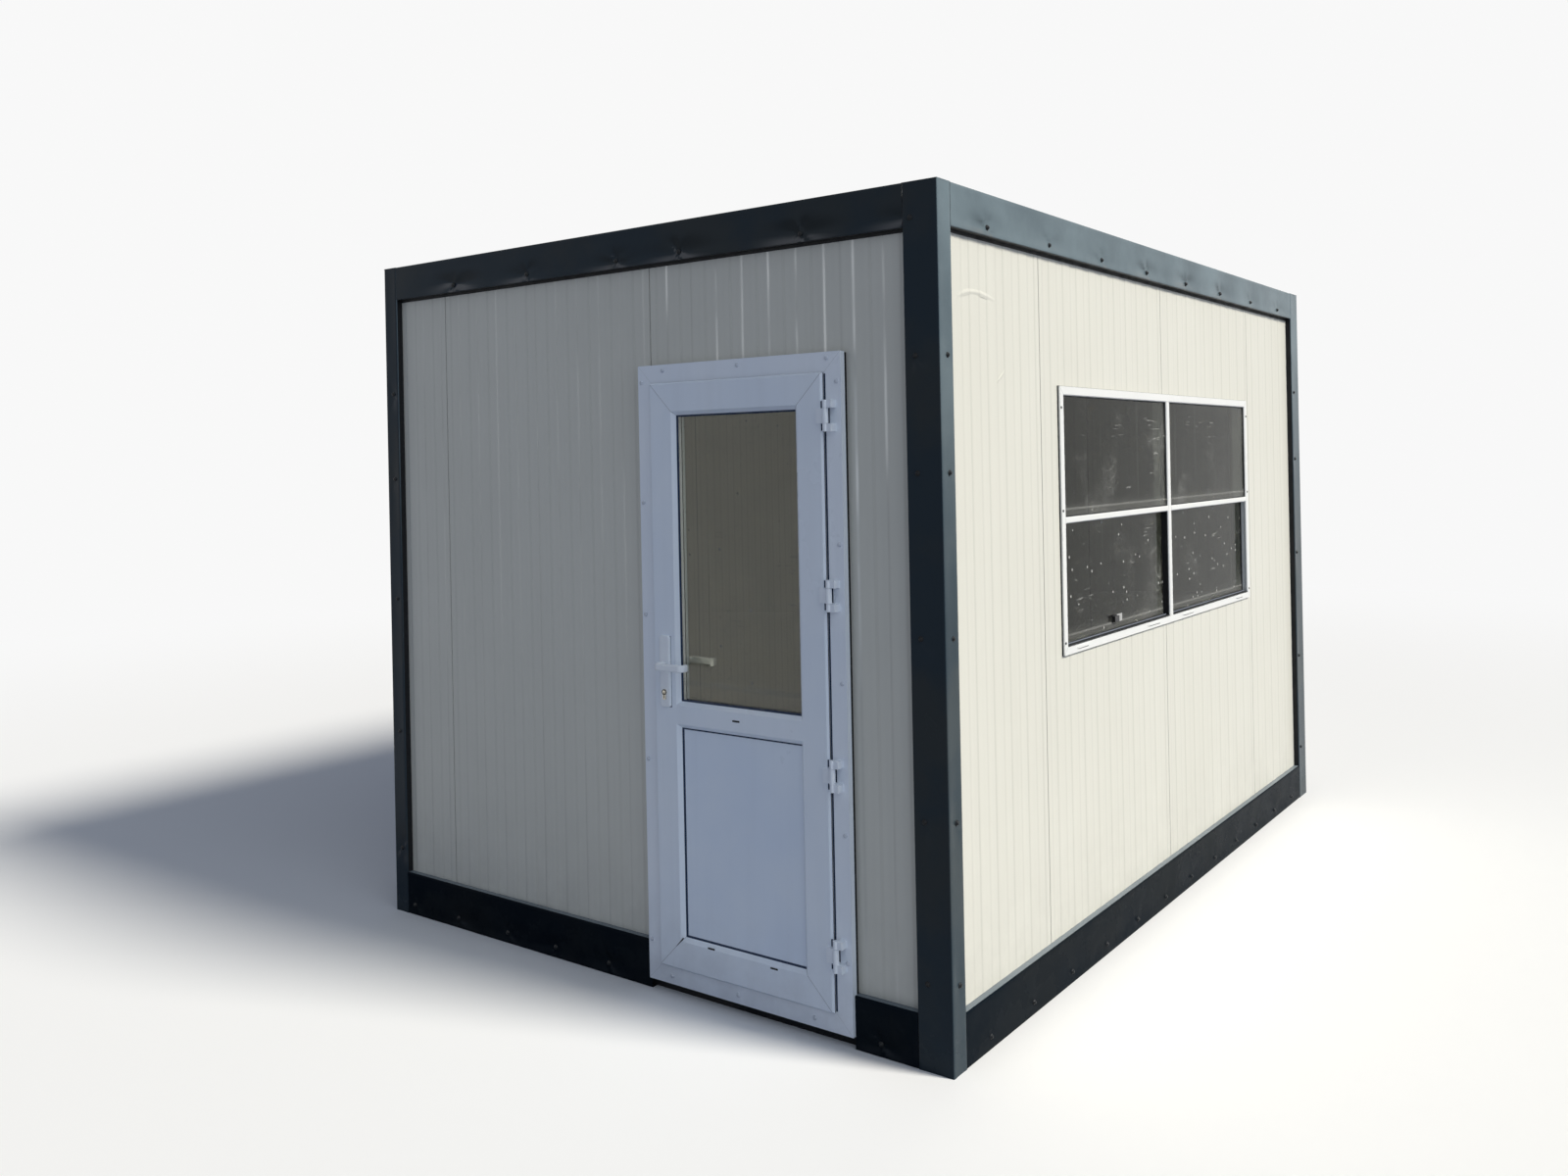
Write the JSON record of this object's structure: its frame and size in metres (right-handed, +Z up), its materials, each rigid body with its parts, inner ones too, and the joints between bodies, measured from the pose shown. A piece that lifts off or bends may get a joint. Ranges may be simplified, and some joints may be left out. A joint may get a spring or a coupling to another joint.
{
  "type": "storage cabin",
  "caption": "Flat-roofed site cabin of ribbed pale wall panels in a dark bent-sheet frame, with a half-glazed hinged door and a fixed multi-light window.",
  "frame": {"origin": "on the ground in the middle of the cabin's plan", "axes": "+Z up, the front with the door faces -Y, the wall with the window faces +X"},
  "size_m": [2.38, 3.419, 2.372],
  "materials": {
    "dark_trim": "gloss",
    "wall_sheet": "satin",
    "base_steel": "satin",
    "white_plastic": "gloss",
    "pane": "gloss",
    "floor_wood": "matte",
    "lock_metal": "satin",
    "lever_metal": "satin",
    "latch_metal": "satin"
  },
  "bodies": {
    "cabin": {"corner_post_front_right": "dark_trim", "corner_post_front_left": "dark_trim", "corner_post_back_left": "dark_trim", "corner_post_back_right": "dark_trim", "front_fascia": "dark_trim", "back_fascia": "dark_trim", "right_fascia": "dark_trim", "left_fascia": "dark_trim", "front_skirts": "dark_trim", "right_skirt": "dark_trim", "back_skirt": "dark_trim", "left_skirt": "dark_trim", "front_wall_left": "wall_sheet", "front_wall_middle": "wall_sheet", "front_wall_over_door": "wall_sheet", "front_wall_beside_door": "wall_sheet", "right_wall_end_panels": "wall_sheet", "right_wall_window_front": "wall_sheet", "right_wall_window_back": "wall_sheet", "back_wall_panels": "wall_sheet", "left_wall_panels": "wall_sheet", "roof_panels": "wall_sheet", "base_side_beams": "base_steel", "base_end_beams": "base_steel", "floor_joists": "base_steel", "door_frame_jambs": "white_plastic", "door_frame_head": "white_plastic", "door_frame_sill": "white_plastic", "hinge_frame_knuckles": "white_plastic", "window_jambs": "white_plastic", "window_head": "white_plastic", "window_sill": "white_plastic", "window_mullion": "white_plastic", "window_transoms": "white_plastic", "window_panes": "pane", "floor_board": "floor_wood", "window_latch": "latch_metal"},
    "door_leaf": {"door_stiles": "white_plastic", "door_rails": "white_plastic", "door_glass": "pane", "door_lower_panel": "white_plastic", "hinge_leaf_knuckles": "white_plastic", "handle_plates": "white_plastic", "lock_cylinder": "lock_metal"},
    "door_lever": {"lever_outside": "white_plastic", "lever_inside": "lever_metal"}
  },
  "joints": [
    {"name": "door_swing", "type": "hinge", "parent": "cabin", "child": "door_leaf", "pos_m": [0.837, -1.702, 0.986], "axis": [0, 0, 1], "range_deg": [0, 115]},
    {"name": "lever_turn", "type": "hinge", "parent": "door_leaf", "child": "door_lever", "pos_m": [0.214, -1.702, 1.02], "axis": [0, 1, 0], "range_deg": [0, 40], "stiffness_Nm_per_rad": 1.5}
  ]
}
